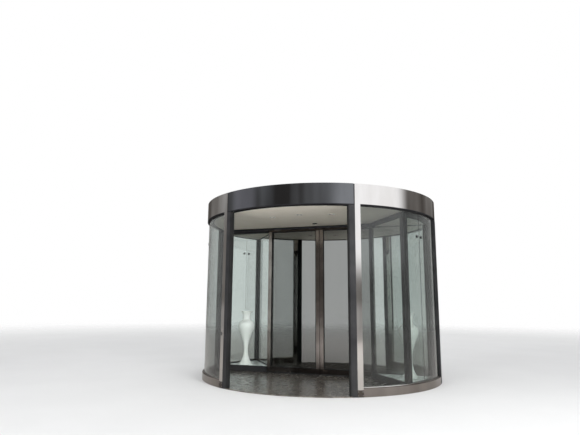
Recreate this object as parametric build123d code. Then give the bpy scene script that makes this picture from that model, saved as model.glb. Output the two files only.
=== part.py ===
from build123d import *
from math import asin, atan2, cos, degrees, radians, sin, sqrt
import os

# A two-wing automatic revolving door for a building front, at its real size.
# Millimetres, +Z up, origin on the ground at the centre of the drum.
# X runs along the facade, -Y is the outside of the building, +Y the inside.
# The drum stands still. The rotor carries two glass display cases and, between
# them, a pair of sliding leaves that open the whole width for a straight way in.

# Drum
drum_radius = 1850.0
wall_depth = 70.0
clear_height = 2410.0
soffit_thickness = 15.0
header_height = 275.0
deck_thickness = 6.0
opening_half_angle = 30.0

# Floor and thresholds
floor_thickness = 12.0
floor_joint = 0.3

# Base rings under the curved glass
base_height = 110.0
base_bevel = 8.0
glass_groove_depth = 14.0
glass_groove_side = 3.0
wall_glass_thickness = 12.0
wall_glass_joint_angle = 24.0
wall_glass_joint = 4.0

# Posts of the drum
jamb_width = 68.0
post_wall = 3.0
safety_edge_width = 26.0
safety_edge_setback = 4.0
safety_edge_round = 12.0
strip_width = 75.0
strip_rim = 7.0
foot_height = 85.0
foot_plate = 3.0
foot_overlap = 3.0
foot_gap = 0.3
facade_post_width = 190.0
facade_post_wall = 5.0

# Header ring
header_sheet = 4.0
header_joint = 14.0
deck_panels = 6
deck_joint = 3.0
deck_edge_gap = 1.0

# Circular track that the rotor hangs on
track_web = 6.0
track_ledge_width = 29.0
track_ledge_thickness = 6.0
track_height = 97.0

# Rotor ceiling and its ring
rotor_gap = 7.0
soffit_lip = 28.0
ceiling_recess = 5.0
ceiling_thickness = 12.0
ring_web = 6.0
ring_height = 63.0
ring_flange = 54.0
ring_flange_thickness = 6.0

# Rollers that carry the rotor
roller_count = 12
roller_radius = 22.0
roller_width = 14.0
roller_seat = 0.3
roller_axle_radius = 6.0
roller_axle_end = 2.0
roller_ledge_margin = 1.0
bracket_depth = 16.0
bracket_width = 40.0
bracket_seat = 0.15
bracket_top = 18.0

# Downlights and leaf sensors in the rotor ceiling
downlight_circle = 1110.0
downlight_spread = 24.5
downlight_radius = 42.0
downlight_trim_radius = 52.0
downlight_trim_drop = 3.0
downlight_cup_depth = 16.0
downlight_wall = 4.0
downlight_depth = 38.0
downlight_gap = 0.3
sensor_place = 290.0
sensor_radius = 38.0
sensor_drop = 10.0
sensor_round = 5.0

# Display cases
case_clearance = 40.0
case_line_offset = 35.0
case_inner_end = 825.0
case_angle = 55.0
rotor_floor_gap = 8.0
case_base_height = 80.0
case_top_height = 68.0
case_rail_width = 45.0
case_panel_thickness = 12.0
case_panel_setback = 4.0
case_panel_gap = 0.2
case_glass_thickness = 10.0
case_glass_setback = 12.0
inner_post_side = 62.0
round_post_side = 95.0
end_post_side = 70.0
case_post_wall = 3.0
seal_thickness = 15.0
seal_clearance = 6.0
seal_seat = 0.2
seal_top_gap = 8.0
seal_carrier = 12.0
seal_brush_thickness = 7.0

# Sliding leaves and their track
leaf_overlap = 80.0
leaf_meeting_gap = 6.0
leaf_thickness = 40.0
leaf_stile = 60.0
leaf_top_rail = 30.0
leaf_bottom_rail = 90.0
leaf_glass_thickness = 10.0
leaf_track_gap = 5.0
leaf_floor_gap = 8.0
beam_height = 47.0
beam_wall = 4.0
beam_slot = 20.0
beam_end_gap = 10.0
hanger_plate = 8.0
hanger_length = 90.0
hanger_inset = 140.0
hanger_top = 9.0
wheel_radius = 11.0
wheel_width = 12.0
wheel_gap = 1.0
wheel_seat = 0.3
wheel_axle_radius = 4.0
wheel_spacing = 56.0

# Floor vases standing in the display cases
vase_x = 1425.0
vase_y = 290.0
vase_height = 907.0
vase_belly_radius = 143.0
vase_foot_radius = 110.0
vase_foot_edge = 14.0
vase_lip_radius = 97.0
vase_wall = 9.0
# Outline from foot to lip: (share of the belly's radius, share of the height)
vase_stem_outline = [(0.490, 0.083), (0.273, 0.198), (0.248, 0.276), (0.399, 0.436)]
vase_bowl_outline = [(0.573, 0.513), (0.776, 0.595), (1.000, 0.717), (0.825, 0.792)]
vase_neck_outline = [(0.462, 0.836), (0.406, 0.868), (0.524, 0.958)]
vase_well_height = 458.0
# Directions of the inner outline where it leaves the well and where it meets the lip
vase_well_slope = (1.0, 0.1)
vase_lip_slope = (0.6, 1.0)

# Sizes that follow from the ones above
inner_radius = drum_radius - wall_depth
soffit_top = clear_height + soffit_thickness
drum_top = soffit_top + header_height
deck_bottom = drum_top - deck_thickness
soffit_inner = inner_radius - soffit_lip
rotor_radius = soffit_inner - rotor_gap
case_radius = inner_radius - case_clearance
seal_radius = inner_radius - seal_clearance
ceiling_bottom = clear_height + ceiling_recess
ceiling_top = ceiling_bottom + ceiling_thickness
rotor_bottom = floor_thickness + rotor_floor_gap
case_base_top = rotor_bottom + case_base_height
case_top_bottom = ceiling_bottom - case_top_height
wall_glass_middle = drum_radius - wall_depth / 2
beam_bottom = ceiling_top - beam_height
beam_half_length = case_radius - beam_end_gap
front = -90.0
back = 90.0


def polar(radius, angle):
    return (radius * cos(radians(angle)), radius * sin(radians(angle)))


def arc_angle(width, radius=drum_radius):
    return degrees(width / radius)


def upright(face, bottom, top):
    return Pos(0, 0, bottom) * extrude(face, top - bottom, dir=(0, 0, 1))


def sector_face(inner, outer, start, end):
    middle = (start + end) / 2
    edges = [
        Line(polar(inner, start), polar(outer, start)),
        ThreePointArc(polar(outer, start), polar(outer, middle), polar(outer, end)),
        Line(polar(outer, end), polar(inner, end)),
        ThreePointArc(polar(inner, end), polar(inner, middle), polar(inner, start)),
    ]
    return make_face(edges)


def sector(inner, outer, start, end, bottom, top):
    return upright(sector_face(inner, outer, start, end), bottom, top)


def turned(points, start, end):
    """A profile of (radius, height) points turned about Z from start to end."""
    profile = make_face(Plane.XZ * Polyline(points, close=True))
    return Rot(0, 0, start) * revolve(profile, Axis.Z, end - start)


def disc(radius, bottom, top):
    return Pos(0, 0, bottom) * extrude(Circle(radius), top - bottom)


def half_turn(solid):
    return Rot(0, 0, 180) * solid


def opening_posts(centre):
    """Angles and signs of the two posts that frame an opening."""
    return [(centre - opening_half_angle, 1), (centre + opening_half_angle, -1)]


def ordered(first, second):
    return (first, second) if first < second else (second, first)


# Floor inside the drum, and the strips between the jambs

def floor_disc():
    return disc(inner_radius - floor_joint, 0, floor_thickness)


def thresholds():
    side = opening_half_angle - arc_angle(jamb_width)
    return [
        sector(inner_radius, drum_radius, centre - side, centre + side, 0, floor_thickness)
        for centre in (front, back)
    ]


# Curved walls

strip_outer_angle = 90 - opening_half_angle - arc_angle(strip_width)
facade_post_angle = degrees(asin(facade_post_width / 2 / inner_radius))


def hollow_sector(start, end, bottom, top, cap=0.0):
    """A curved post with thin walls, open below and closed above by cap."""
    wall = arc_angle(post_wall)
    post = sector(inner_radius, drum_radius, start, end, bottom, top)
    return post - sector(
        inner_radius + post_wall, drum_radius - post_wall, start + wall, end - wall, bottom, top - cap
    )


def side_spans(middle):
    """Start and end of the two wall stretches beside the facade post."""
    return [
        (middle - strip_outer_angle, middle - facade_post_angle),
        (middle + facade_post_angle, middle + strip_outer_angle),
    ]


def base_profile():
    glass_half = wall_glass_thickness / 2 + glass_groove_side
    groove_bottom = base_height - glass_groove_depth
    return [
        (inner_radius, 0),
        (drum_radius, 0),
        (drum_radius, base_height - base_bevel),
        (drum_radius - base_bevel, base_height),
        (wall_glass_middle + glass_half, base_height),
        (wall_glass_middle + glass_half, groove_bottom),
        (wall_glass_middle - glass_half, groove_bottom),
        (wall_glass_middle - glass_half, base_height),
        (inner_radius + base_bevel, base_height),
        (inner_radius, base_height - base_bevel),
    ]


def base_ring(middle):
    return [turned(base_profile(), start, end) for start, end in side_spans(middle)]


def wall_glass(middle):
    inner = wall_glass_middle - wall_glass_thickness / 2
    outer = wall_glass_middle + wall_glass_thickness / 2
    bottom = base_height - glass_groove_depth
    joint = arc_angle(wall_glass_joint) / 2
    panes = []
    for start, end in side_spans(middle):
        sign = 1 if start >= middle else -1
        split = middle + sign * wall_glass_joint_angle
        panes.append(sector(inner, outer, start, split - joint, bottom, clear_height))
        panes.append(sector(inner, outer, split + joint, end, bottom, clear_height))
    return panes


def facade_posts():
    """Hollow posts where the building front meets the drum, with a flat outer face."""
    middle = (inner_radius + drum_radius) / 2
    wall = facade_post_wall
    outside = Pos(middle, 0) * Rectangle(wall_depth, facade_post_width) - Circle(inner_radius)
    inside = Pos(middle, 0) * Rectangle(wall_depth - 2 * wall, facade_post_width - 2 * wall)
    post = upright(outside - (inside - Circle(inner_radius + wall)), 0, clear_height)
    return [post, half_turn(post)]


# Posts beside the openings

def jambs(centre):
    posts = []
    for joint, sign in opening_posts(centre):
        start, end = ordered(joint, joint + sign * arc_angle(jamb_width))
        posts.append(hollow_sector(start, end, 0, clear_height))
    return posts


def safety_edge(joint, sign):
    """A soft nose on the jamb, rounded towards the opening."""
    angle = joint + sign * arc_angle(jamb_width)
    depth = wall_depth - 2 * safety_edge_setback
    outline = Rectangle(depth, safety_edge_width)
    nose = [v for v in outline.vertices() if v.Y * sign > 0]
    outline = fillet(nose, safety_edge_round)
    place = Rot(0, 0, angle) * Pos(
        (inner_radius + drum_radius) / 2, sign * safety_edge_width / 2, floor_thickness
    )
    return place * extrude(outline, clear_height - floor_thickness)


def safety_edges():
    return [
        safety_edge(joint, sign)
        for centre in (front, back)
        for joint, sign in opening_posts(centre)
    ]


def strip_span(joint, sign):
    return ordered(joint, joint - sign * arc_angle(strip_width))


def post_strips(centre):
    strips = []
    for joint, sign in opening_posts(centre):
        start, end = strip_span(joint, sign)
        strip = hollow_sector(start, end, 0, deck_bottom, post_wall)
        rim = sector(drum_radius - strip_rim, drum_radius, start, end, deck_bottom, drum_top)
        strips.append(strip + rim)
    return strips


def post_feet():
    """Thin plates that protect the foot of each bright strip."""
    overlap = arc_angle(foot_overlap)
    plates = []
    for centre in (front, back):
        for joint, sign in opening_posts(centre):
            start, end = strip_span(joint, sign)
            plates.append(
                sector(
                    drum_radius + foot_gap, drum_radius + foot_plate,
                    start - overlap, end + overlap, 0, foot_height,
                )
            )
    return plates


# Header

def header_profile():
    flange_top = deck_bottom
    return [
        (inner_radius, soffit_top),
        (drum_radius, soffit_top),
        (drum_radius, drum_top),
        (drum_radius - header_sheet, drum_top),
        (drum_radius - header_sheet, flange_top),
        (inner_radius, flange_top),
        (inner_radius, flange_top - header_sheet),
        (drum_radius - header_sheet, flange_top - header_sheet),
        (drum_radius - header_sheet, soffit_top + header_sheet),
        (inner_radius, soffit_top + header_sheet),
    ]


def header_bands():
    side = opening_half_angle - arc_angle(header_joint)
    return [turned(header_profile(), centre - side, centre + side) for centre in (front, back)]


def header_sides():
    side = strip_outer_angle
    return [turned(header_profile(), middle - side, middle + side) for middle in (0, 180)]


def soffit_ring():
    """The dark ring under the header, cut back where the bright strips run past it."""
    ring = disc(drum_radius, clear_height, soffit_top) - disc(soffit_inner, clear_height, soffit_top)
    beyond = 2 * drum_radius
    for centre in (front, back):
        for joint, sign in opening_posts(centre):
            start, end = strip_span(joint, sign)
            ring -= sector(inner_radius, beyond, start, end, clear_height, soffit_top)
    return ring


def track_ring():
    ledge_inner = inner_radius - track_ledge_width
    ledge_bottom = soffit_top + track_height - track_ledge_thickness
    ledge_top = soffit_top + track_height
    profile = [
        (inner_radius - track_web, soffit_top),
        (inner_radius, soffit_top),
        (inner_radius, ledge_top),
        (ledge_inner, ledge_top),
        (ledge_inner, ledge_bottom),
        (inner_radius - track_web, ledge_bottom),
    ]
    return turned(profile, 0, 360)


def roof_deck():
    radius = drum_radius - strip_rim - deck_edge_gap
    step = 360 / deck_panels
    joint_half = deck_joint / 2
    wedge = upright(deck_wedge(radius, step, joint_half), deck_bottom, drum_top)
    return [Rot(0, 0, i * step) * wedge for i in range(deck_panels)]


def deck_wedge(radius, step, joint_half):
    """A pie slice whose straight sides are set back by half a joint."""
    tip = joint_half / sin(radians(step / 2))
    side = degrees(asin(joint_half / radius))
    corner = polar(tip, step / 2)
    near = polar(radius, side)
    far = polar(radius, step - side)
    edges = [
        Line(corner, near),
        ThreePointArc(near, polar(radius, step / 2), far),
        Line(far, corner),
    ]
    return make_face(edges)


# Rotor: ring, rollers and ceiling

def rotor_ring():
    profile = [
        (rotor_radius - ring_flange, ceiling_top),
        (rotor_radius, ceiling_top),
        (rotor_radius, ceiling_top + ring_height),
        (rotor_radius - ring_web, ceiling_top + ring_height),
        (rotor_radius - ring_web, ceiling_top + ring_flange_thickness),
        (rotor_radius - ring_flange, ceiling_top + ring_flange_thickness),
    ]
    return turned(profile, 0, 360)


def roller(angle):
    """Bracket, axle and wheel in one, standing in the ring's angle."""
    track_top = soffit_top + track_height
    axle_height = track_top + roller_seat + roller_radius
    bracket_outer = rotor_radius - ring_web - bracket_seat
    bracket_inner = bracket_outer - bracket_depth
    bracket_bottom = ceiling_top + ring_flange_thickness
    bracket_height = axle_height + bracket_top - bracket_bottom
    middle = (bracket_inner + bracket_outer) / 2
    bracket = Pos(middle, 0, bracket_bottom + bracket_height / 2) * Box(
        bracket_depth, bracket_width, bracket_height
    )
    wheel_inner = inner_radius - track_ledge_width + roller_ledge_margin
    axle_length = wheel_inner + roller_width + roller_axle_end - middle
    axle = Pos(middle + axle_length / 2, 0, axle_height) * Rot(0, 90, 0) * Cylinder(
        roller_axle_radius, axle_length
    )
    wheel = Pos(wheel_inner + roller_width / 2, 0, axle_height) * Rot(0, 90, 0) * Cylinder(
        roller_radius, roller_width
    )
    return Rot(0, 0, angle) * (bracket + axle + wheel)


def rotor_rollers():
    step = 360 / roller_count
    return [roller((i + 0.5) * step) for i in range(roller_count)]


def downlight_places():
    return [
        polar(downlight_circle, centre + turn)
        for centre in (front, back)
        for turn in (-downlight_spread, 0, downlight_spread)
    ]


def rotor_ceiling():
    """Two half discs beside the leaf track, with a hole for each lamp."""
    plate = disc(rotor_radius, ceiling_bottom, ceiling_top)
    for x, y in downlight_places():
        plate -= Pos(x, y, ceiling_bottom) * extrude(Circle(downlight_radius), ceiling_thickness)
    beam_gap = Pos(0, 0, ceiling_bottom + ceiling_thickness / 2) * Box(
        2 * drum_radius, 2 * case_line_offset, ceiling_thickness
    )
    return (plate - beam_gap).solids()


def downlights():
    trim_bottom = ceiling_bottom - downlight_trim_drop
    body_radius = downlight_radius - downlight_gap
    cup_radius = body_radius - downlight_wall
    lamps = []
    for x, y in downlight_places():
        body = Pos(x, y, trim_bottom) * extrude(Circle(body_radius), downlight_depth)
        trim = Pos(x, y, trim_bottom) * extrude(Circle(downlight_trim_radius), downlight_trim_drop)
        cup = Pos(x, y, trim_bottom) * extrude(Circle(cup_radius), downlight_cup_depth)
        lamps.append(body + trim - cup)
    return lamps


def leaf_sensors():
    body = Pos(0, -sensor_place, ceiling_bottom - sensor_drop) * extrude(
        Circle(sensor_radius), sensor_drop
    )
    low = body.edges().filter_by(GeomType.CIRCLE).sort_by(Axis.Z)[0]
    dome = fillet(low, sensor_round)
    return [dome, half_turn(dome)]


# Display cases. The left one is drawn and the right one is its half turn.

case_corner = Vector(-case_inner_end, case_line_offset)
case_along = Vector(-cos(radians(case_angle)), sin(radians(case_angle)))
case_inward = Vector(-sin(radians(case_angle)), -cos(radians(case_angle)))


def case_corners(inset):
    """Inner, round and end corner of the case plan, set in by inset."""
    line_y = case_line_offset + inset
    start = case_corner + case_inward * inset
    radius = case_radius - inset
    reach = (line_y - start.Y) / case_along.Y
    inner = start + case_along * reach
    half = start.dot(case_along)
    root = sqrt(half * half - start.dot(start) + radius * radius)
    round_corner = start + case_along * (root - half)
    end = Vector(-sqrt(radius * radius - line_y * line_y), line_y)
    return inner, round_corner, end


def plan_angle(point):
    return degrees(atan2(point.Y, point.X)) % 360


def case_face(inset):
    inner, round_corner, end = case_corners(inset)
    radius = case_radius - inset
    middle = (plan_angle(round_corner) + plan_angle(end)) / 2
    edges = [
        Line(inner, round_corner),
        ThreePointArc(round_corner, Vector(*polar(radius, middle)), end),
        Line(end, inner),
    ]
    return make_face(edges)


def kite(corner, first, second, side):
    """A corner piece, cut square to both sides at the same distance."""
    spread = (first + second).normalized()
    cosine = first.dot(spread)
    return make_face(
        Polyline(
            corner, corner + first * side, corner + spread * (side / cosine), corner + second * side,
            close=True,
        )
    )


def post_faces(wall=0.0):
    """Plans of the three posts, and the corner pieces that cut them, all set in by wall."""
    inner, round_corner, end = case_corners(0)
    along_line = Vector(-1, 0)
    round_tangent = Vector(*polar(1, plan_angle(round_corner) + 90))
    end_tangent = Vector(*polar(1, plan_angle(end) - 90))
    ring = case_face(wall) - case_face(case_rail_width - wall)
    shapes = [
        kite(inner, along_line, case_along, inner_post_side - wall),
        kite(round_corner, -case_along, round_tangent, round_post_side - wall),
        kite(end, -along_line, end_tangent, end_post_side - wall),
    ]
    return [ring & shape for shape in shapes], shapes


def case_base_rail():
    return upright(case_face(0) - case_face(case_rail_width), rotor_bottom, case_base_top)


def case_floor():
    top = case_base_top - case_panel_setback
    return upright(case_face(case_rail_width + case_panel_gap), top - case_panel_thickness, top)


def case_top_rail():
    return upright(case_face(0) - case_face(case_rail_width), case_top_bottom, ceiling_bottom)


def case_ceiling():
    bottom = case_top_bottom + case_panel_setback
    return upright(
        case_face(case_rail_width + case_panel_gap), bottom, bottom + case_panel_thickness
    )


def case_posts():
    faces, _ = post_faces()
    hollows, _ = post_faces(case_post_wall)
    return [
        upright(face - hollow, case_base_top, case_top_bottom)
        for face, hollow in zip(faces, hollows)
    ]


def case_glass():
    """Three panes between the posts: on the line, on the slant and on the arc."""
    band = case_face(case_glass_setback) - case_face(case_glass_setback + case_glass_thickness)
    _, shapes = post_faces()
    for shape in shapes:
        band -= shape
    return [upright(face, case_base_top, case_top_bottom) for face in band.faces()]


def case_seals():
    """Upright brush seals at the round and end posts, each in its carrier."""
    _, round_corner, end = case_corners(0)
    top = clear_height - seal_top_gap
    half = arc_angle(seal_thickness, case_radius) / 2
    brush_half = arc_angle(seal_brush_thickness, case_radius) / 2
    start = case_radius + seal_seat
    seals = []
    inset = 2 * half
    for angle in (plan_angle(round_corner) + inset, plan_angle(end) - inset):
        carrier = sector(start, start + seal_carrier, angle - half, angle + half, rotor_bottom, top)
        brush = sector(
            start + seal_carrier, seal_radius, angle - brush_half, angle + brush_half, rotor_bottom, top
        )
        seals.append(carrier + brush)
    return seals


def outline_points(shares):
    return [(r * vase_belly_radius, h * vase_height) for r, h in shares]


def set_inward(points, wall):
    """The inner points of an outline, moved by the wall's thickness towards the inside."""
    moved = []
    for before, here, after in zip(points, points[1:], points[2:]):
        across, up = after[0] - before[0], after[1] - before[1]
        length = sqrt(across * across + up * up)
        moved.append((here[0] - wall * up / length, here[1] + wall * across / length))
    return moved


def vase():
    """A tall empty vase: spreading foot, thin stem, high round bowl and open mouth."""
    base = case_base_top - case_panel_setback
    stem = outline_points(vase_stem_outline)
    bowl = outline_points(vase_bowl_outline + vase_neck_outline)
    lip = (vase_lip_radius, vase_height)
    inner_lip = (vase_lip_radius - vase_wall, vase_height)
    well = (0, vase_well_height)
    outer = Spline((vase_foot_radius, vase_foot_edge), *stem, *bowl, lip)
    inner = Spline(
        well, *set_inward(bowl + [lip], vase_wall), inner_lip,
        tangents=(vase_well_slope, vase_lip_slope),
    )
    edges = [
        Line((0, 0), (vase_foot_radius, 0)),
        Line((vase_foot_radius, 0), (vase_foot_radius, vase_foot_edge)),
        outer,
        Line(lip, inner_lip),
        inner,
        Line(well, (0, 0)),
    ]
    profile = Plane.XZ * make_face(edges)
    return Pos(-vase_x, vase_y, base) * revolve(profile, Axis.Z)


# Sliding leaves. The left one is drawn and the right one is its half turn.

def leaf_spans():
    outer_end = -(case_inner_end + leaf_overlap)
    inner_end = -leaf_meeting_gap / 2
    return outer_end, inner_end


def leaf_heights():
    return floor_thickness + leaf_floor_gap, beam_bottom - leaf_track_gap


def leaf_frame():
    outer_end, inner_end = leaf_spans()
    bottom, top = leaf_heights()
    width = inner_end - outer_end
    frame = Pos((outer_end + inner_end) / 2, 0, (bottom + top) / 2) * Box(
        width, leaf_thickness, top - bottom
    )
    light_bottom = bottom + leaf_bottom_rail
    light_top = top - leaf_top_rail
    light = Pos((outer_end + inner_end) / 2, 0, (light_bottom + light_top) / 2) * Box(
        width - 2 * leaf_stile, leaf_thickness, light_top - light_bottom
    )
    return frame - light


def leaf_glass():
    outer_end, inner_end = leaf_spans()
    bottom, top = leaf_heights()
    light_bottom = bottom + leaf_bottom_rail
    light_top = top - leaf_top_rail
    return Pos((outer_end + inner_end) / 2, 0, (light_bottom + light_top) / 2) * Box(
        inner_end - outer_end - 2 * leaf_stile, leaf_glass_thickness, light_top - light_bottom
    )


def leaf_hanger(x):
    """A plate through the track's slot, with wheels that roll on its lips."""
    _, top = leaf_heights()
    axle_height = beam_bottom + beam_wall + wheel_seat + wheel_radius
    plate_top = axle_height + hanger_top
    plate = Pos(x, 0, (top + plate_top) / 2) * Box(hanger_length, hanger_plate, plate_top - top)
    wheel_middle = hanger_plate / 2 + wheel_gap + wheel_width / 2
    axle_length = hanger_plate + 2 * (wheel_gap + wheel_width)
    hanger = plate
    for shift in (-wheel_spacing / 2, wheel_spacing / 2):
        place = Pos(x + shift, 0, axle_height) * Rot(90, 0, 0)
        hanger += place * Cylinder(wheel_axle_radius, axle_length)
        for side in (-wheel_middle, wheel_middle):
            hanger += place * Pos(0, 0, side) * Cylinder(wheel_radius, wheel_width)
    return hanger


def leaf_hangers():
    outer_end, inner_end = leaf_spans()
    return [leaf_hanger(outer_end + hanger_inset), leaf_hanger(inner_end - hanger_inset)]


def leaf_track():
    """A slotted channel along the whole line of the rotor."""
    half = case_line_offset
    slot = beam_slot / 2
    inside = half - beam_wall
    profile = Polyline(
        (-half, beam_bottom),
        (-slot, beam_bottom),
        (-slot, beam_bottom + beam_wall),
        (-inside, beam_bottom + beam_wall),
        (-inside, ceiling_top - beam_wall),
        (inside, ceiling_top - beam_wall),
        (inside, beam_bottom + beam_wall),
        (slot, beam_bottom + beam_wall),
        (slot, beam_bottom),
        (half, beam_bottom),
        (half, ceiling_top),
        (-half, ceiling_top),
        close=True,
    )
    section = make_face(Plane.YZ * profile)
    return extrude(section, beam_half_length, both=True)


def pair(solids):
    """The same solids and their half turns, for two like pieces in one node."""
    return list(solids) + [half_turn(s) for s in solids]


def as_list(shape):
    return list(shape) if isinstance(shape, (list, ShapeList)) else [shape]


def left_and_right(name, shape):
    solids = as_list(shape)
    return {f"left_{name}": solids, f"right_{name}": [half_turn(s) for s in solids]}


def all_nodes():
    nodes = {
        "floor_disc": floor_disc(),
        "thresholds": thresholds(),
        "base_ring_left": base_ring(180),
        "base_ring_right": base_ring(0),
        "wall_glass_left": wall_glass(180),
        "wall_glass_right": wall_glass(0),
        "facade_posts": facade_posts(),
        "jambs_front": jambs(front),
        "jambs_back": jambs(back),
        "safety_edges": safety_edges(),
        "post_strips_front": post_strips(front),
        "post_strips_back": post_strips(back),
        "post_feet": post_feet(),
        "header_bands": header_bands(),
        "header_sides": header_sides(),
        "soffit_ring": soffit_ring(),
        "track_ring": track_ring(),
        "roof_deck": roof_deck(),
        "rotor_ring": rotor_ring(),
        "rotor_rollers": rotor_rollers(),
        "rotor_ceiling": rotor_ceiling(),
        "downlights": downlights(),
        "leaf_sensors": leaf_sensors(),
        "leaf_track": leaf_track(),
        "display_vases": pair([vase()]),
    }
    nodes.update(left_and_right("case_base_rail", case_base_rail()))
    nodes.update(left_and_right("case_floor", case_floor()))
    nodes.update(left_and_right("case_top_rail", case_top_rail()))
    nodes.update(left_and_right("case_ceiling", case_ceiling()))
    nodes.update(left_and_right("case_posts", case_posts()))
    nodes.update(left_and_right("case_glass", case_glass()))
    nodes.update(left_and_right("case_seals", case_seals()))
    nodes.update(left_and_right("leaf_frame", leaf_frame()))
    nodes.update(left_and_right("leaf_glass", leaf_glass()))
    nodes.update(left_and_right("leaf_hangers", leaf_hangers()))
    return nodes


os.makedirs("parts", exist_ok=True)
for node, shape in all_nodes().items():
    solids = [s for piece in as_list(shape) for s in piece.solids()]
    body = solids[0] if len(solids) == 1 else Compound(solids)
    export_step(body, f"parts/{node}.step")
    print(node, len(solids), round(sum(s.volume for s in solids) / 1e6, 2))
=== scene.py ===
import math
import bmesh
import bpy
from mathutils import Matrix, Vector


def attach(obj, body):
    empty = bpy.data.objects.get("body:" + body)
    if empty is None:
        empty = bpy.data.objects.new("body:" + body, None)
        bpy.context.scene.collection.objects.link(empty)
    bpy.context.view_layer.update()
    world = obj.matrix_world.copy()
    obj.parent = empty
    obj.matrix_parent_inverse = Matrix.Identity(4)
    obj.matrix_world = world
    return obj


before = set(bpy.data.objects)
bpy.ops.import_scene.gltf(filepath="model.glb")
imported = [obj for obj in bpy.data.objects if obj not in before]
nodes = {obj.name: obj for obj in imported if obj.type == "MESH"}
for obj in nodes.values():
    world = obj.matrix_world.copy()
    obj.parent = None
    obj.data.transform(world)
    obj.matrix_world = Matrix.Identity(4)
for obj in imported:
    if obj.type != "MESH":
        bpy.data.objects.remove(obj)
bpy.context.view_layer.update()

scene = bpy.context.scene


# Sizes of the solids that the small pieces stand on. Lengths are in metres and angles in degrees,
# here and below. The drum's centre is the origin, and the front opening looks along -Y.

wall_in, wall_out = 1.780, 1.850
glass_in, glass_mid, glass_out = 1.809, 1.815, 1.821
floor_top = 0.012
rotor_low = 0.020
base_top = 0.110
soffit = 2.410
ceiling = 2.415
header_low, deck_low = 2.425, 2.694
case_low, case_high = 0.100, 2.347
leaf_low, leaf_high = 0.020, 2.375
leaf_pane_low, leaf_pane_high = 0.110, 2.345
joint_angle = 24.0
opening_edge = 60.0
strip_width = 0.075
facade_post_half = 0.095
foot_plate_face = 1.853
clearance = 0.0005
sharp_angle = 32.0


# Camera, from the photograph's viewpoint

def aim(yaw, pitch, roll):
    """The camera's turn from its heading, rise and roll."""
    yaw, pitch, roll = (math.radians(a) for a in (yaw, pitch, roll))
    level = math.cos(pitch)
    forward = Vector((-math.sin(yaw) * level, math.cos(yaw) * level, math.sin(pitch)))
    right = Vector((math.cos(yaw), math.sin(yaw), 0))
    up = right.cross(forward)
    right, up = (
        right * math.cos(roll) + up * math.sin(roll),
        up * math.cos(roll) - right * math.sin(roll),
    )
    return Matrix((right, up, -forward)).transposed().to_euler()


camera_data = bpy.data.cameras.new("camera")
camera_data.sensor_width = 36.0
camera_data.lens = 30.47
camera_data.clip_end = 200.0
camera = bpy.data.objects.new("camera", camera_data)
camera.location = (2.1816, -7.8397, 1.1119)
camera.rotation_euler = aim(yaw=19.058, pitch=10.102, roll=0.404)
scene.collection.objects.link(camera)
scene.camera = camera
scene.view_settings.view_transform = "Standard"


# Material tools

def feed(nt, node, inputs):
    """Gives each named or numbered input another node's output or a plain value."""
    for key, value in inputs.items():
        if isinstance(value, bpy.types.NodeSocket):
            nt.links.new(value, node.inputs[key])
        else:
            node.inputs[key].default_value = value


def added(nt, kind, inputs):
    node = nt.nodes.new(kind)
    feed(nt, node, inputs)
    return node


def new_material(name):
    mat = bpy.data.materials.new(name)
    mat.use_nodes = True
    nt = mat.node_tree
    return mat, nt, nt.nodes["Principled BSDF"]


def object_place(nt):
    return nt.nodes.new("ShaderNodeTexCoord").outputs["Object"]


def coords(nt, scale=(1, 1, 1)):
    node = added(nt, "ShaderNodeMapping", {"Vector": object_place(nt), "Scale": scale})
    return node.outputs["Vector"]


def height_in(nt, vector):
    return added(nt, "ShaderNodeSeparateXYZ", {"Vector": vector}).outputs["Z"]


def noise(nt, vector, scale, detail=4.0, rough=0.5):
    """A soft random number for each place, about 0.5."""
    inputs = {"Vector": vector, "Scale": scale, "Detail": detail, "Roughness": rough}
    return added(nt, "ShaderNodeTexNoise", inputs).outputs["Fac"]


def cells(nt, vector, scale):
    """A number from 0 to 1 for each of the cells that fill the space."""
    colour = added(nt, "ShaderNodeTexVoronoi", {"Vector": vector, "Scale": scale}).outputs["Color"]
    return added(nt, "ShaderNodeSeparateColor", {"Color": colour}).outputs["Red"]


def ramp(nt, fac, stops):
    """A colour for each number, between stops of (number, colour)."""
    node = added(nt, "ShaderNodeValToRGB", {"Fac": fac})
    elements = node.color_ramp.elements
    for element, (place, colour) in zip(elements, (stops[0], stops[-1])):
        element.position = place
        element.color = (*colour, 1)
    for place, colour in stops[1:-1]:
        elements.new(place).color = (*colour, 1)
    return node.outputs["Color"]


def span(nt, fac, low, high):
    """A number from 0 to 1 spread between low and high."""
    inputs = {"Value": fac, "To Min": low, "To Max": high}
    return added(nt, "ShaderNodeMapRange", inputs).outputs["Result"]


def smooth_share(nt, value, near, far):
    """From 0 to 1 as a value passes from near to far."""
    node = added(nt, "ShaderNodeMapRange", {"Value": value, "From Min": near, "From Max": far})
    node.interpolation_type = "SMOOTHSTEP"
    return node.outputs["Result"]


def maths(nt, operation, first, second):
    node = added(nt, "ShaderNodeMath", {0: first, 1: second})
    node.operation = operation
    return node.outputs["Value"]


def vector_maths(nt, operation, *vectors):
    node = added(nt, "ShaderNodeVectorMath", dict(enumerate(vectors)))
    node.operation = operation
    return node.outputs["Value"]


def mixed(nt, share, first, second, blend="MIX"):
    """Two colours in one, with the second's share."""
    node = nt.nodes.new("ShaderNodeMix")
    node.data_type = "RGBA"
    node.blend_type = blend
    feed(nt, node, {"Factor": share, 6: first, 7: second})
    return node.outputs[2]


def multiplied(nt, first, second):
    return mixed(nt, 1.0, first, second, "MULTIPLY")


def shader_mix(nt, share, first, second):
    return added(nt, "ShaderNodeMixShader", {"Fac": share, 1: first, 2: second}).outputs["Shader"]


def surface(nt, shader):
    nt.links.new(shader, nt.nodes["Material Output"].inputs["Surface"])


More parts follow.
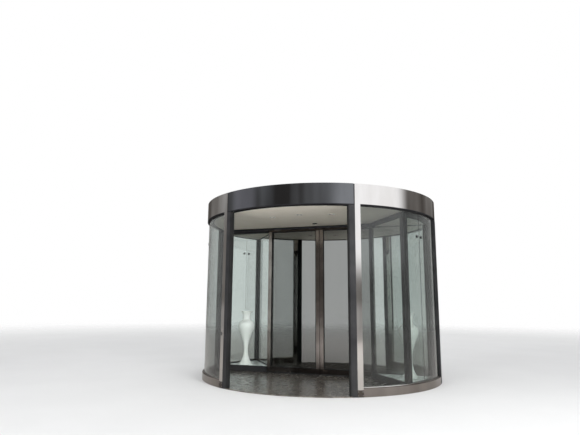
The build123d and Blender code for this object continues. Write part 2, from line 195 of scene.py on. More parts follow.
def bump(nt, bsdf, height, strength, distance):
    inputs = {"Height": height, "Strength": strength, "Distance": distance}
    feed(nt, bsdf, {"Normal": added(nt, "ShaderNodeBump", inputs).outputs["Normal"]})


# Materials

def mirror_metal(name, dark, light, rough=(0.03, 0.09), wave=0.12):
    """Polished sheet: long soft waves, faint smears and a slight change of tone."""
    mat, nt, bsdf = new_material(name)
    wide = coords(nt, (1, 1, 0.25))
    feed(nt, bsdf, {
        "Base Color": ramp(nt, noise(nt, wide, 3.0), [(0.3, dark), (0.7, light)]),
        "Roughness": span(nt, noise(nt, wide, 9.0, detail=6.0), *rough),
        "Metallic": 1.0,
    })
    bump(nt, bsdf, noise(nt, wide, 2.2, detail=2.0), wave, distance=0.01)
    return mat


def painted(
    name, dark, light, rough=(0.28, 0.42), metallic=0.0, grain=220.0, depth=0.08, shine=0.5
):
    """Coated metal or plastic with a fine surface grain and slight handling marks."""
    mat, nt, bsdf = new_material(name)
    even = coords(nt)
    feed(nt, bsdf, {
        "Base Color": ramp(nt, noise(nt, even, 5.0, detail=6.0), [(0.35, dark), (0.68, light)]),
        "Roughness": span(nt, noise(nt, even, 14.0, detail=6.0), *rough),
        "Metallic": metallic,
        "Specular IOR Level": shine,
    })
    bump(nt, bsdf, noise(nt, even, grain, detail=3.0), depth, distance=0.0004)
    return mat


def dark_rails(mat, low, high, dark=(0.26, 0.25, 0.25)):
    """Darkens a frame's rails, which lie below and above the two heights of its pane."""
    nt = mat.node_tree
    height = height_in(nt, object_place(nt))
    above_low = maths(nt, "GREATER_THAN", height, low)
    below_high = maths(nt, "LESS_THAN", height, high)
    beside_pane = maths(nt, "MULTIPLY", above_low, below_high)
    base = nt.nodes["Principled BSDF"].inputs["Base Color"]
    shade = ramp(nt, beside_pane, [(0.0, dark), (1.0, (1, 1, 1))])
    nt.links.new(multiplied(nt, base.links[0].from_socket, shade), base)


def brush(name):
    """Dark bristles that stand close together along a seal."""
    mat, nt, bsdf = new_material(name)
    strands = noise(nt, coords(nt, (900, 900, 25)), 1.0, detail=2.0)
    dark, light = (0.010, 0.010, 0.011), (0.035, 0.034, 0.034)
    feed(nt, bsdf, {
        "Base Color": ramp(nt, strands, [(0.3, dark), (0.7, light)]),
        "Roughness": 0.8,
        "Specular IOR Level": 0.25,
    })
    bump(nt, bsdf, strands, 0.6, distance=0.0008)
    return mat


def granite(name):
    """Polished dark stone: grains of several greys with brown and pale flecks."""
    mat, nt, bsdf = new_material(name)
    even = coords(nt)
    fleck = ramp(nt, cells(nt, even, 150.0), [
        (0.0, (0.06, 0.056, 0.051)), (0.45, (0.12, 0.112, 0.103)), (0.78, (0.20, 0.185, 0.168)),
        (1.0, (0.36, 0.335, 0.30)),
    ])
    shade = (0.40, 0.385, 0.37)
    patch = ramp(nt, cells(nt, even, 34.0), [(0.0, shade), (1.0, (1.15, 1.14, 1.12))])
    clouds = noise(nt, even, 11.0, detail=8.0, rough=0.7)
    cloud = ramp(nt, clouds, [(0.38, shade), (0.62, (1.08, 1.06, 1.03))])
    feed(nt, bsdf, {
        "Base Color": multiplied(nt, multiplied(nt, fleck, patch), cloud),
        "Roughness": span(nt, noise(nt, even, 9.0, detail=8.0, rough=0.7), 0.10, 0.40),
        "Specular IOR Level": 0.42,
    })
    bump(nt, bsdf, noise(nt, even, 140.0), 0.03, distance=0.0003)
    return mat


def glass(name, tint, rough=(0.0, 0.012)):
    """Clear pane that bends light, and that lamps shine through with its tint."""
    mat, nt, bsdf = new_material(name)
    film = coords(nt, (1, 1, 0.4))
    pale = tuple(min(1.0, c + 0.03) for c in tint)
    feed(nt, bsdf, {
        "Base Color": ramp(nt, noise(nt, film, 1.3, detail=3.0), [(0.3, tint), (0.7, pale)]),
        "Roughness": span(nt, noise(nt, film, 6.0, detail=5.0), *rough),
        "Transmission Weight": 1.0,
        "IOR": 1.5,
    })
    # A lamp's ray passes both faces of the pane, so each face takes the root of the tint.
    one_face = (*(math.sqrt(c) for c in tint), 1)
    through = added(nt, "ShaderNodeBsdfTransparent", {"Color": one_face})
    shadow = nt.nodes.new("ShaderNodeLightPath").outputs["Is Shadow Ray"]
    surface(nt, shader_mix(nt, shadow, bsdf.outputs["BSDF"], through.outputs["BSDF"]))
    return mat


# The header bands take a darker copy of the posts' mirror steel: the dark tone is painted shade,
# standing in for the dark surroundings that the bands mirror.
header_mirror_shaded = mirror_metal("header_mirror_painted_shade", (0.115, 0.118, 0.124), (0.165, 0.168, 0.175))
steel = mirror_metal("post_mirror_steel", (0.58, 0.555, 0.53), (0.69, 0.67, 0.65))
base_steel = mirror_metal(
    "base_mirror_steel", (0.27, 0.246, 0.228), (0.40, 0.37, 0.345), (0.05, 0.14)
)
foot_steel = mirror_metal(
    "foot_dark_steel", (0.10, 0.088, 0.08), (0.16, 0.143, 0.13), (0.10, 0.22)
)
black = painted("black_aluminium", (0.014, 0.014, 0.015), (0.024, 0.024, 0.025), shine=0.18)
matt_black = painted(
    "soffit_matt_black", (0.008, 0.008, 0.009), (0.015, 0.015, 0.016), (0.6, 0.8), shine=0.1
)
rubber = painted(
    "black_rubber", (0.008, 0.008, 0.008), (0.018, 0.018, 0.018), (0.6, 0.8),
    grain=400.0, depth=0.2, shine=0.2,
)
bristle = brush("seal_bristle")
plain_steel = painted(
    "structural_steel", (0.32, 0.32, 0.33), (0.45, 0.45, 0.46), (0.3, 0.5), metallic=1.0
)
leaf_steel = painted(
    "leaf_satin_steel", (0.27, 0.243, 0.228), (0.39, 0.355, 0.335), (0.12, 0.24), metallic=1.0
)
dark_rails(leaf_steel, leaf_pane_low, leaf_pane_high)
ceiling_white = painted(
    "ceiling_panel", (0.86, 0.80, 0.68), (0.90, 0.84, 0.73), (0.4, 0.55),
    grain=500.0, depth=0.1, shine=0.3,
)
roof_sheet = painted(
    "roof_sheet", (0.55, 0.56, 0.57), (0.63, 0.64, 0.65), (0.35, 0.55), grain=60.0, depth=0.1
)
plate_white = painted("case_plate", (0.76, 0.79, 0.77), (0.84, 0.87, 0.85), (0.2, 0.35))
trim_white = painted("lamp_trim", (0.74, 0.71, 0.64), (0.80, 0.77, 0.70), (0.3, 0.4))
reflector = painted(
    "lamp_reflector", (0.55, 0.53, 0.49), (0.63, 0.61, 0.57), (0.2, 0.3), metallic=1.0
)
lens = painted("lamp_lens", (0.58, 0.56, 0.51), (0.66, 0.64, 0.58), (0.25, 0.4))
plastic = painted(
    "black_plastic", (0.012, 0.012, 0.012), (0.02, 0.02, 0.02), (0.3, 0.45), shine=0.35
)
dark_lens = painted(
    "sensor_lens", (0.020, 0.006, 0.008), (0.030, 0.010, 0.012), (0.05, 0.1),
    grain=60.0, depth=0.02,
)
glaze = painted(
    "white_glaze", (0.77, 0.775, 0.75), (0.85, 0.85, 0.825), (0.08, 0.18), grain=12.0, depth=0.12
)
stone = granite("granite")
wall_pane = glass("wall_glass", (0.64, 0.675, 0.66))
case_pane = glass("case_glass", (0.84, 0.87, 0.86))
leaf_pane = glass("leaf_glass", (0.28, 0.29, 0.285))


def dress(mat, *names):
    for name in names:
        mesh = nodes[name].data
        mesh.materials.clear()
        mesh.materials.append(mat)


def both(name):
    return "left_" + name, "right_" + name


dress(stone, "floor_disc", "thresholds")
dress(base_steel, "base_ring_left", "base_ring_right")
dress(steel, "post_strips_front", "post_strips_back", "header_sides")
dress(foot_steel, "post_feet")
dress(header_mirror_shaded, "header_bands")
dress(wall_pane, "wall_glass_left", "wall_glass_right")
dress(case_pane, *both("case_glass"))
dress(leaf_pane, *both("leaf_glass"))
dress(black, "facade_posts", "jambs_front", "jambs_back", "leaf_track")
dress(black, *both("case_base_rail"), *both("case_top_rail"), *both("case_posts"))
dress(matt_black, "soffit_ring")
dress(rubber, "safety_edges")
dress(bristle, *both("case_seals"))
dress(plain_steel, "track_ring", "rotor_ring", "rotor_rollers", *both("leaf_hangers"))
dress(roof_sheet, "roof_deck")
dress(ceiling_white, "rotor_ceiling", *both("case_ceiling"))
dress(plate_white, *both("case_floor"))
dress(trim_white, "downlights")
dress(plastic, "leaf_sensors")
dress(leaf_steel, *both("leaf_frame"))
dress(glaze, "display_vases")


# Shape tools. A shape is a pair of lists, its points and its faces.

def circle_point(radius, angle, height=0.0):
    turn = math.radians(angle)
    return Vector((radius * math.cos(turn), radius * math.sin(turn), height))


def arc_angle(length, radius=wall_out):
    """The angle that a length takes up along a circle."""
    return math.degrees(length / radius)


def offset_angle(distance, radius):
    """The angle between a line through the centre and the point of a circle that far beside it."""
    return math.degrees(math.asin(distance / radius))


def half_turned(shapes):
    """The shapes turned by 180 degrees about the drum's centre."""
    return [([(-v[0], -v[1], v[2]) for v in verts], faces) for verts, faces in shapes]


def twice(*shapes):
    """The shapes and their half turns."""
    return [*shapes, *half_turned(shapes)]


def piece(name, shapes, mat, body, smooth=True):
    """One object from the shapes, with its normals set outward."""
    verts, faces = [], []
    for more_verts, more_faces in shapes:
        base = len(verts)
        verts += more_verts
        faces += [tuple(base + i for i in face) for face in more_faces]
    mesh = bpy.data.meshes.new(name)
    mesh.from_pydata(verts, [], faces)
    bm = bmesh.new()
    bm.from_mesh(mesh)
    bmesh.ops.recalc_face_normals(bm, faces=bm.faces)
    bm.to_mesh(mesh)
    bm.free()
    mesh.materials.append(mat)
    if smooth:
        mesh.shade_smooth()
        mesh.set_sharp_from_angle(angle=math.radians(sharp_angle))
    obj = bpy.data.objects.new(name, mesh)
    scene.collection.objects.link(obj)
    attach(obj, body)


def loft(rings, closed=False):
    """Faces between rings of points, with end caps unless the rings close."""
    count = len(rings[0])
    verts = [tuple(p) for ring in rings for p in ring]
    faces = []
    for i in range(len(rings) if closed else len(rings) - 1):
        here, there = i * count, ((i + 1) % len(rings)) * count
        for k in range(count):
            n = (k + 1) % count
            faces.append((here + k, here + n, there + n, there + k))
    if not closed:
        faces.append(tuple(range(count)))
        faces.append(tuple(range(len(verts) - count, len(verts))))
    return verts, faces


def swept(profile, start, end, step=1.5):
    """A (radius, height) profile swept about Z, closed on itself after a full turn."""
    count = max(2, math.ceil(abs(end - start) / step))
    full = abs(end - start) >= 360
    angles = [start + (end - start) * i / count for i in range(count if full else count + 1)]
    return loft([[circle_point(r, a, z) for r, z in profile] for a in angles], full)


def slab(inner, outer, start, end, low, high):
    return swept([(inner, low), (outer, low), (outer, high), (inner, high)], start, end)


def column(plan, low, high):
    return loft([[(p[0], p[1], low) for p in plan], [(p[0], p[1], high) for p in plan]])


def corner_bead(point, along, out, low, high, size=0.0045):
    """A three-sided upright bead in the corner between a pane's face and a post."""
    point, along, out = (Vector(v[:2]) for v in (point, along, out))
    sides = [point + heading.normalized() * size for heading in (along, out)]
    return column([point, *sides], low, high)


def turns(sides):
    return [math.tau * k / sides for k in range(sides)]


def set_on(place, axis):
    """Finds points by their radius, height and turn about an axis through place."""
    spin = Vector((0, 0, 1)).rotation_difference(Vector(axis).normalized())
    place = Vector(place)

    def point(radius, height, turn):
        return place + spin @ Vector((radius * math.cos(turn), radius * math.sin(turn), height))

    return point


def lathed(profile, place, axis=(0, 0, 1), segments=32):
    """A (radius, height) profile turned about an axis, with a small flat cap at each end."""
    point = set_on(place, axis)
    return loft([[point(r, h, turn) for turn in turns(segments)] for r, h in profile])


def lathed_ring(profile, place, axis, segments=40):
    """A (radius, height) profile turned right round, open in the middle."""
    point = set_on(place, axis)
    return loft([[point(r, h, turn) for r, h in profile] for turn in turns(segments)], closed=True)


def screw(place, axis, radius=0.0045, height=0.0016, sides=18):
    """A domed screw head with a six-sided socket."""
    point = set_on(place, axis)
    dome = ((1.0, -0.0004), (1.0, height * 0.35), (0.82, height * 0.85), (0.55, height))
    rings = [[point(radius * share, rise, turn) for turn in turns(sides)] for share, rise in dome]
    socket, flat = radius * 0.42, math.tau / 6
    for rise in (height, height * 0.3):
        rings.append([
            point(socket / math.cos(turn % flat - flat / 2), rise, turn) for turn in turns(sides)
        ])
    return loft(rings)


def bristles(path, length=0.0074, pitch=0.007, width=0.0060, depth=0.0045, tip=0.6, sway=0.0006):
    """Tapered bristle tufts that hang from a path, close together."""
    square = ((-0.5, -0.5), (0.5, -0.5), (0.5, 0.5), (-0.5, 0.5))
    tufts = []
    for start, end in zip(path, path[1:]):
        run = end - start
        count = max(1, int(run.length / pitch))
        heading = run.normalized()
        side = Vector((heading.y, -heading.x, 0))
        for i in range(count):
            root = start + run * ((i + 0.5) / count)
            rings = []
            for reach, share in ((0.0, 1.0), (length, tip)):
                lean = sway * math.sin(i * 2.3) * reach / length
                centre = root + Vector((0, 0, -reach)) + heading * lean
                rings.append([
                    centre + heading * (along * width * share) + side * (across * depth * share)
                    for along, across in square
                ])
            tufts.append(loft(rings))
    return tufts


# Drum: gaskets, joints and clamps of the curved glass

def over_middle(profile):
    """The profile on the other face of the glass."""
    return [(2 * glass_mid - r, z) for r, z in profile]


strip_edge = opening_edge - arc_angle(strip_width)
post_edge = offset_angle(facade_post_half, wall_in)
on_glass = glass_out + 0.0001
base_bead = [
    (on_glass, 0.0985), (1.8238, 0.0985), (1.8238, 0.1101), (1.8340, 0.1101),
    (1.8340, 0.1125), (1.8310, 0.1175), (1.8250, 0.1205), (on_glass, 0.1205),
]
head_gasket = [
    (on_glass, 2.4099), (1.8275, 2.4099), (1.8275, 2.4070), (1.8235, 2.4020), (on_glass, 2.4020),
]
corner_size, corner_sunk, corner_step = 0.0065, 0.05, 0.2
gaskets = []
base_beads = []
for start, end in ((-strip_edge, -post_edge), (post_edge, strip_edge)):
    base_beads += [swept(bead, start, end) for bead in (base_bead, over_middle(base_bead))]
    gaskets += [swept(bead, start, end) for bead in (head_gasket, over_middle(head_gasket))]
    for angle, inward in ((start, 1), (end, -1)):
        for radius, side in ((glass_out, 1), (glass_in, -1)):
            corner = circle_point(radius, angle - inward * corner_sunk)
            next_point = circle_point(radius, angle + inward * corner_step)
            along_glass = next_point - circle_point(radius, angle)
            out = circle_point(side, angle)
            gaskets.append(corner_bead(corner, along_glass, out, base_top, soffit, corner_size))
piece("wall_gaskets", twice(*gaskets), rubber, "drum")
piece("wall_base_beads", twice(*base_beads), steel, "drum")

joint_half_width, joint_inset, joint_low = 0.0019, 0.0004, 0.0975
half_joint = arc_angle(joint_half_width, glass_mid)
joints = [
    slab(
        glass_in + joint_inset, glass_out - joint_inset,
        side * joint_angle - half_joint, side * joint_angle + half_joint,
        joint_low, soffit - clearance,
    )
    for side in (-1, 1)
]
piece("wall_joints", twice(*joints), rubber, "drum", smooth=False)

clamp_height, clamp_shift, clamp_proud = 2.07, 1.85, 0.0072
clamp_screw = {"radius": 0.0055, "height": 0.002}
button = [
    (0.004, -0.0003), (0.019, -0.0003), (0.019, 0.0045), (0.0175, 0.0066), (0.006, clamp_proud),
]
buttons = []
button_screws = []
for side in (-1, 1):
    for shift in (-clamp_shift, clamp_shift):
        angle = side * joint_angle + shift
        for radius, facing in ((glass_out, 1), (glass_in, -1)):
            place = circle_point(radius, angle, clamp_height)
            axis = circle_point(facing, angle)
            buttons.append(lathed(button, place, axis))
            button_screws.append(screw(place + axis * clamp_proud, axis, **clamp_screw))
piece("wall_clamps", twice(*buttons), black, "drum")
piece("wall_clamp_screws", twice(*button_screws), plain_steel, "drum")


# Drum: posts, header and roof

def edge_carrier(joint, sign, inner, outer, shift=0.068, width=0.010, gap=0.0002):
    """A thin metal strip that holds the soft edge on one face of the jamb."""
    angle = joint + sign * arc_angle(shift)
    radial = circle_point(1, angle)
    across = circle_point(1, angle + 90) * sign
    corners = [(inner, 0), (outer, 0), (outer, width), (inner, width)]
    return column([radial * r + across * s for r, s in corners], floor_top + gap, soffit - gap)


# The joints beside the front header band, each with the sign of the turn towards its opening.
front_joints = ((opening_edge - 180, 1), (-opening_edge, -1))
carrier_faces = ((1.7815, 1.7838), (1.8462, 1.8485))
carriers = [edge_carrier(*joint, *faces) for joint in front_joints for faces in carrier_faces]
piece("edge_carriers", twice(*carriers), black, "drum", smooth=False)

reveal_in, reveal_out, reveal_near, reveal_far = 1.836, 1.840, 0.02, 0.9
reveal_low, reveal_high = header_low + clearance, deck_low - clearance
reveals = []
for joint, sign in front_joints:
    start, end = sorted((joint + sign * reveal_near, joint + sign * reveal_far))
    reveals.append(slab(reveal_in, reveal_out, start, end, reveal_low, reveal_high))
piece("header_reveals", twice(*reveals), black, "drum", smooth=False)

foot_screws = []
foot_screw_shift, foot_screw_heights = 0.87, (0.020, 0.066)
for joint, sign in front_joints:
    middle = joint - sign * arc_angle(strip_width / 2)
    for angle in (middle - foot_screw_shift, middle + foot_screw_shift):
        for height in foot_screw_heights:
            place = circle_point(foot_plate_face, angle, height)
            foot_screws.append(screw(place, circle_point(1, angle), height=0.0015))
piece("foot_screws", twice(*foot_screws), plain_steel, "drum")


def oval(angle, height, radius, share, half_width=0.013, half_height=0.024):
    """A ring of an upright oval that follows the curve of the drum."""
    return [
        circle_point(
            radius, angle + arc_angle(half_width * share * math.cos(turn)),
            height + half_height * share * math.sin(turn),
        )
        for turn in turns(40)
    ]


lock_angle, lock_height, core_face = -121.6, 0.716, 1.8542
lock_levels = ((1.8496, 1.0), (1.8530, 1.0), (1.8541, 0.9), (1.8544, 0.5))
core = [(0.0015, 0.0), (0.0075, 0.0), (0.0075, 0.0012), (0.0068, 0.0018), (0.0015, 0.0018)]
escutcheon = loft([oval(lock_angle, lock_height, radius, share) for radius, share in lock_levels])
core_place = circle_point(core_face, lock_angle, lock_height)
lock_core = lathed(core, core_place, circle_point(1, lock_angle))
piece("strip_locks", twice(escutcheon), plastic, "drum")
piece("strip_lock_cores", twice(lock_core), plain_steel, "drum")

inner_circle, outer_circle = 1.766, 1.832
inner_angles = [7.5 + 15 * i for i in range(12)]
outer_angles = range(-114, -65, 8)
soffit_places = [circle_point(inner_circle, angle, soffit) for angle in inner_angles]
soffit_places += [circle_point(outer_circle, angle, soffit) for angle in outer_angles]
soffit_screws = [screw(place, (0, 0, -1)) for place in soffit_places]
piece("soffit_screws", twice(*soffit_screws), plastic, "drum")

sealant_in, sealant_out, sealant_half = 0.004, 1.841, 0.0013
sealant_low, sealant_high = deck_low + clearance, 2.6985
sealant = []
for angle in (0, 60, 120):
    near, far = circle_point(1, angle) * sealant_in, circle_point(1, angle) * sealant_out
    side = circle_point(sealant_half, angle + 90)
    plan = [near - side, far - side, far + side, near + side]
    sealant.append(column(plan, sealant_low, sealant_high))
piece("roof_sealant", twice(*sealant), rubber, "drum", smooth=False)


# Rotor: ceiling fittings

lamp_circle, lamp_shift, lamp_height = 1.110, 24.5, 2.412
lamp_places = [
    circle_point(lamp_circle, -90 + shift, lamp_height) for shift in (-lamp_shift, 0, lamp_shift)
]
bowl = [
    (0.004, 0.0150), (0.031, 0.0150), (0.0376, 0.0012), (0.0376, 0.0002), (0.0362, 0.0002),
    (0.0295, 0.0138), (0.004, 0.0138),
]
disc = [(0.002, 0.0100), (0.026, 0.0106), (0.0286, 0.0120), (0.0286, 0.0136), (0.002, 0.0136)]
bowls = [lathed(bowl, place) for place in lamp_places]
discs = [lathed(disc, place) for place in lamp_places]
piece("lamp_reflectors", twice(*bowls), reflector, "rotor")
piece("lamp_lenses", twice(*discs), lens, "rotor")

sensor, down = (0, -0.290, 2.405), (0, 0, -1)
window = [(0.001, -0.0006), (0.017, -0.0006), (0.0165, 0.0012), (0.012, 0.0022), (0.001, 0.0027)]
collar = [
    (0.0175, -0.0005), (0.0235, -0.0005), (0.0235, 0.0008), (0.0220, 0.0014), (0.0190, 0.0014),
    (0.0175, 0.0008),
]
windows, collars = twice(lathed(window, sensor, down)), twice(lathed_ring(collar, sensor, down))
piece("sensor_windows", windows, dark_lens, "rotor")
piece("sensor_collars", collars, plain_steel, "rotor")

seam_half, seam_proud, seam_sunk = 0.005, 0.0008, 0.0002
seam_start, seam_end = Vector((-0.042, -0.0365)), Vector((0.4262, -1.6870))
seam_side = (seam_end - seam_start).orthogonal().normalized() * seam_half
seam = column(
    [seam_start - seam_side, seam_end - seam_side, seam_end + seam_side, seam_start + seam_side],
    ceiling - seam_proud, ceiling + seam_sunk,
)
rim_in, rim_out, rim_low, rim_high = 1.7452, 1.7512, 2.4165, 2.4245
rim_brush = slab(rim_in, rim_out, 0, 360, rim_low, rim_high)
piece("ceiling_seams", twice(seam), ceiling_white, "rotor", smooth=False)
piece("rim_brush", [rim_brush], bristle, "rotor", smooth=False)


# Rotor: gaskets and brushes of the display cases. The left case is drawn and then turned.
# Its plan has a corner by the leaves, a long side on a slant from there, an arc along the wall,
# and a side along the rotor's middle line.

case_radius = 1.740
case_line = 0.035
case_slant = math.radians(55)
case_inner = Vector((-0.825, case_line))
case_heading = Vector((-math.cos(case_slant), math.sin(case_slant)))
case_inward = Vector((-math.sin(case_slant), -math.cos(case_slant)))
inner_post, inner_post_end, round_post, end_post = 0.062, -0.887, 0.095, 0.070
pane_out, pane_in, pane_sum = 0.012, 0.022, 0.034


def case_corners(inset):
    """Inner, round and end corner of the case plan, set in by inset."""
    radius, line = case_radius - inset, case_line + inset
    start = case_inner + case_inward * inset
    inner = start + case_heading * ((line - start.y) / case_heading.y)
    half = start.dot(case_heading)
    root = math.sqrt(half * half - start.dot(start) + radius * radius)
    round_corner = start + case_heading * (root - half)
    end = Vector((-math.sqrt(radius * radius - line ** 2), line))
    return inner, round_corner, end


def plan_angle(point):
    return math.degrees(math.atan2(point.y, point.x))


def case_loop(inset, steps=30):
    """The case plan as points: the inner corner, then the arc from the round corner to the end."""
    inner, round_corner, end = case_corners(inset)
    start, stop = plan_angle(round_corner), plan_angle(end)
    angles = [start + (stop - start) * i / steps for i in range(steps + 1)]
    return [inner] + [circle_point(case_radius - inset, angle).to_2d() for angle in angles]


def around_case(profile):
    """An (inset, height) profile carried round the case plan."""
    loops = [case_loop(inset) for inset, _ in profile]
    rings = [
        [(loop[i].x, loop[i].y, height) for loop, (_, height) in zip(loops, profile)]
        for i in range(len(loops[0]))
    ]
    return loft(rings, closed=True)


case_beads = []
lip = [(0.0119, -0.0002), (0.0070, -0.0002), (0.0070, 0.0014), (0.0105, 0.0055), (0.0119, 0.0055)]
for level, up in ((case_low, 1), (case_high, -1)):
    case_beads.append(around_case([(s, level + up * h) for s, h in lip]))
    case_beads.append(around_case([(pane_sum - s, level + up * h) for s, h in lip]))
plain_inner, plain_round, plain_end = case_corners(0)
line_out = Vector((0, -1))
slant_out = -case_inward
for inset, facing in ((pane_out, 1), (pane_in, -1)):
    line_y = case_line + inset
    pane_ends = [
        (Vector((inner_post_end, line_y)), Vector((-1, 0)), line_out),
        (Vector((plain_end.x + end_post, line_y)), Vector((1, 0)), line_out),
        (plain_inner + case_heading * inner_post + case_inward * inset, case_heading, slant_out),
        (plain_round - case_heading * round_post + case_inward * inset, -case_heading, slant_out),
    ]
    radius = case_radius - inset
    first = plan_angle(plain_round) + offset_angle(round_post, radius)
    last = plan_angle(plain_end) - offset_angle(end_post, radius)
    for angle, turn in ((first, 90), (last, -90)):
        out = circle_point(1, angle)
        pane_ends.append((circle_point(radius, angle), circle_point(1, angle + turn), out))
    for point, along, out in pane_ends:
        case_beads.append(corner_bead(point, along, out * facing, case_low, case_high))
piece("case_gaskets", twice(*case_beads), rubber, "rotor")

brush_gap, brush_inset = 0.0004, 0.008
brush_path = [Vector((p.x, p.y, rotor_low + brush_gap)) for p in case_loop(brush_inset)]
case_brush = bristles(brush_path + brush_path[:1])
piece("case_floor_brushes", twice(*case_brush), bristle, "rotor", smooth=False)

holder_plan = [(-0.8440, 0.0330), (-0.8310, 0.0330), (-0.8310, 0.0352), (-0.8440, 0.0352)]
strip_plan = [(-0.8390, 0.0213), (-0.8360, 0.0213), (-0.8350, 0.0332), (-0.8400, 0.0332)]
strip_short = 0.001
holder = column(holder_plan, case_low, case_high)
strip = column(strip_plan, case_low + strip_short, case_high - strip_short)
piece("leaf_brush_holders", twice(holder), black, "rotor", smooth=False)
piece("leaf_brushes", twice(strip), bristle, "rotor", smooth=False)


# Leaves: glazing beads, meeting seals, floor brushes and seal rails

def frame_bead(x0, x1, z0, z1, face, side, width=0.012, proud=0.011):
    """A rounded bead round a pane that stands in the XZ plane."""
    shape = [(0.0, 0.0), (0.0, 0.7), (0.2, 1.0), (0.6, 1.0), (1.0, 0.45), (1.0, 0.0)]
    corners = [(x0, z0, 1, 1), (x1, z0, -1, 1), (x1, z1, -1, -1), (x0, z1, 1, -1)]
    rings = [
        [(x + sx * width * a, face + side * proud * b, z + sz * width * a) for a, b in shape]
        for x, z, sx, sz in corners
    ]
    return loft(rings, closed=True)


stile_far, stile_near = -0.845, -0.063
pane_half = 0.005
brush_far, brush_near, rail_near, row_side = -0.902, -0.008, -0.006, 0.012
leaf_beads = [
    frame_bead(stile_far, stile_near, leaf_pane_low, leaf_pane_high, side * pane_half, side)
    for side in (-1, 1)
]
meeting_plan = [
    (-0.0031, -0.009), (-0.0014, -0.009), (-0.0006, -0.005), (-0.0006, 0.005), (-0.0014, 0.009),
    (-0.0031, 0.009),
]
meeting = column(meeting_plan, leaf_low, leaf_high)
leaf_tufts = []
for y in (-row_side, row_side):
    leaf_tufts += bristles([Vector((x, y, leaf_low + brush_gap)) for x in (brush_far, brush_near)])
seal_rail = [
    (0.0199, 0.0202), (0.0222, 0.0202), (0.0222, 0.0310), (0.0210, 0.0350), (0.0199, 0.0350),
]
leaf_rails = [
    loft([[(x, side * y, z) for y, z in seal_rail] for x in (brush_far, rail_near)])
    for side in (-1, 1)
]
leaf_pieces = (
    ("_beads", leaf_beads, rubber, True),
    ("_meeting_seal", [meeting], rubber, True),
    ("_floor_brushes", leaf_tufts, bristle, False),
    ("_seal_rails", leaf_rails, rubber, False),
)
for leaf, placed in (("left_leaf", list), ("right_leaf", half_turned)):
    for ending, shapes, mat, smooth in leaf_pieces:
        piece(leaf + ending, placed(shapes), mat, leaf, smooth)


# Floor

def stage_floor(half_side=60.0, drop=0.0005, near=4.0, far=26.0):
    """A pale floor that melts into the backdrop between two distances from the centre."""
    mesh = bpy.data.meshes.new("floor")
    corners = [(-half_side, -half_side, 0), (half_side, -half_side, 0), (half_side, half_side, 0)]
    mesh.from_pydata(corners + [(-half_side, half_side, 0)], [], [(0, 1, 2, 3)])
    obj = bpy.data.objects.new("floor", mesh)
    scene.collection.objects.link(obj)
    obj.location.z = -drop
    mat, nt, bsdf = new_material("pale_floor")
    dark, light, in_mirrors = (0.76, 0.76, 0.755), (0.79, 0.79, 0.785), (0.52, 0.495, 0.47, 1)
    to_the_eye = ramp(nt, noise(nt, coords(nt), 0.8), [(0.3, dark), (0.7, light)])
    glossy = nt.nodes.new("ShaderNodeLightPath").outputs["Is Glossy Ray"]
    feed(nt, bsdf, {"Base Color": mixed(nt, glossy, to_the_eye, in_mirrors), "Roughness": 0.6})
    away = smooth_share(nt, vector_maths(nt, "LENGTH", object_place(nt)), near, far)
    clear = nt.nodes.new("ShaderNodeBsdfTransparent").outputs["BSDF"]
    surface(nt, shader_mix(nt, away, bsdf.outputs["BSDF"], clear))
    mesh.materials.append(mat)


# Light

def background(nt, colour, strength=1.0):
    node = added(nt, "ShaderNodeBackground", {"Color": colour, "Strength": strength})
    return node.outputs["Background"]


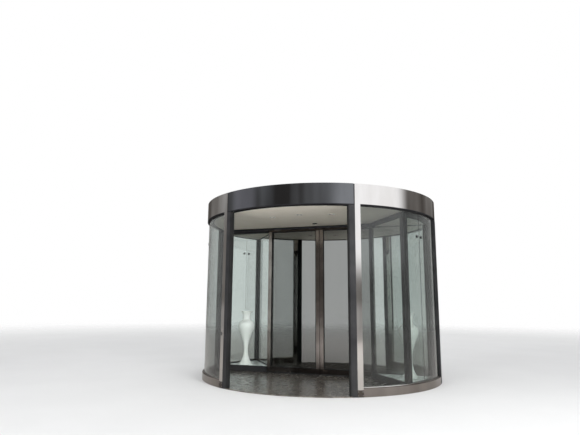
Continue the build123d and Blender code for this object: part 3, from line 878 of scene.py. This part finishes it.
def mirrored_surroundings(nt):
    """What mirrors show: ground, a dark uneven skyline under a pale sky, two bright patches."""
    direction = nt.nodes.new("ShaderNodeTexCoord").outputs["Generated"]
    height = height_in(nt, direction)

    def toward(heading, near, far):
        """From 0 to 1 as the direction of a ray turns to a heading."""
        return smooth_share(nt, vector_maths(nt, "DOT_PRODUCT", direction, heading), near, far)

    rise = added(nt, "ShaderNodeMapRange", {"Value": height, "From Min": -1.0}).outputs["Result"]
    sky = ramp(nt, rise, [
        (0.0, (0.66, 0.66, 0.66)), (0.495, (0.66, 0.66, 0.66)), (0.505, (0.30, 0.29, 0.28)),
        (0.56, (0.42, 0.415, 0.41)), (0.64, (0.74, 0.755, 0.78)), (1.0, (0.95, 0.96, 0.98)),
    ])
    patches = noise(nt, direction, 2.2, detail=2.0)
    uneven = ramp(nt, patches, [(0.40, (0.24, 0.22, 0.205)), (0.60, (0.80, 0.80, 0.80))])
    outside = toward((0, -1, 0), -0.35, 0.15)
    outdoors = ramp(nt, outside, [(0.0, (0.5, 0.48, 0.46)), (1.0, (1, 1, 1))])
    tone = multiplied(nt, multiplied(nt, sky, uneven), outdoors)
    over_skyline = smooth_share(nt, height, 0.04, 0.11)
    # Each patch: its heading, where it begins and where it is full, and its colour.
    for heading, near, far, colour in (
        ((-0.868, -0.452, 0.205), 0.955, 0.995, (0.72, 0.71, 0.76, 1)),
        ((0.899, -0.438, 0), 0.70, 0.88, (1.28, 1.30, 1.34, 1)),
    ):
        share = maths(nt, "MULTIPLY", toward(heading, near, far), over_skyline)
        tone = mixed(nt, share, tone, colour)
    return tone


def world_light():
    """White to the eye, a soft even light on the part, and surroundings of its own in mirrors."""
    world = bpy.data.worlds.new("studio")
    scene.world = world
    world.use_nodes = True
    nt = world.node_tree
    nt.nodes.clear()
    seen = background(nt, (1, 1, 1, 1))
    lit = background(nt, (0.97, 0.98, 1.0, 1), 0.85)
    mirrored = background(nt, mirrored_surroundings(nt))
    path = nt.nodes.new("ShaderNodeLightPath").outputs
    straight = maths(nt, "MAXIMUM", path["Is Camera Ray"], path["Is Transmission Ray"])
    unseen = shader_mix(nt, path["Is Glossy Ray"], lit, mirrored)
    added(nt, "ShaderNodeOutputWorld", {"Surface": shader_mix(nt, straight, unseen, seen)})


def area(name, place, target, size, power, spread=180.0):
    data = bpy.data.lights.new(name, "AREA")
    data.shape = "DISK"
    data.size = size
    data.energy = power
    data.spread = math.radians(spread)
    obj = bpy.data.objects.new(name, data)
    scene.collection.objects.link(obj)
    obj.visible_camera = obj.visible_glossy = obj.visible_transmission = False
    obj.location = place
    obj.rotation_euler = (Vector(target) - Vector(place)).to_track_quat("-Z", "Y").to_euler()


stage_floor()
world_light()
area("key", (-7.0, -9.0, 10.5), (0, 0, 1.2), size=9.0, power=240.0)
area("front", (-3.4, -13.0, 2.6), (0, 0, 1.5), size=4.0, power=120.0, spread=60.0)
area("side", (9.5, -9.5, 2.8), (0, 0, 1.4), size=4.0, power=270.0, spread=60.0)
area("fill", (8.0, -7.0, 6.5), (0, 0, 1.2), size=8.0, power=90.0)
area("back", (0.0, 10.0, 8.0), (0, 0, 1.5), size=8.0, power=170.0)
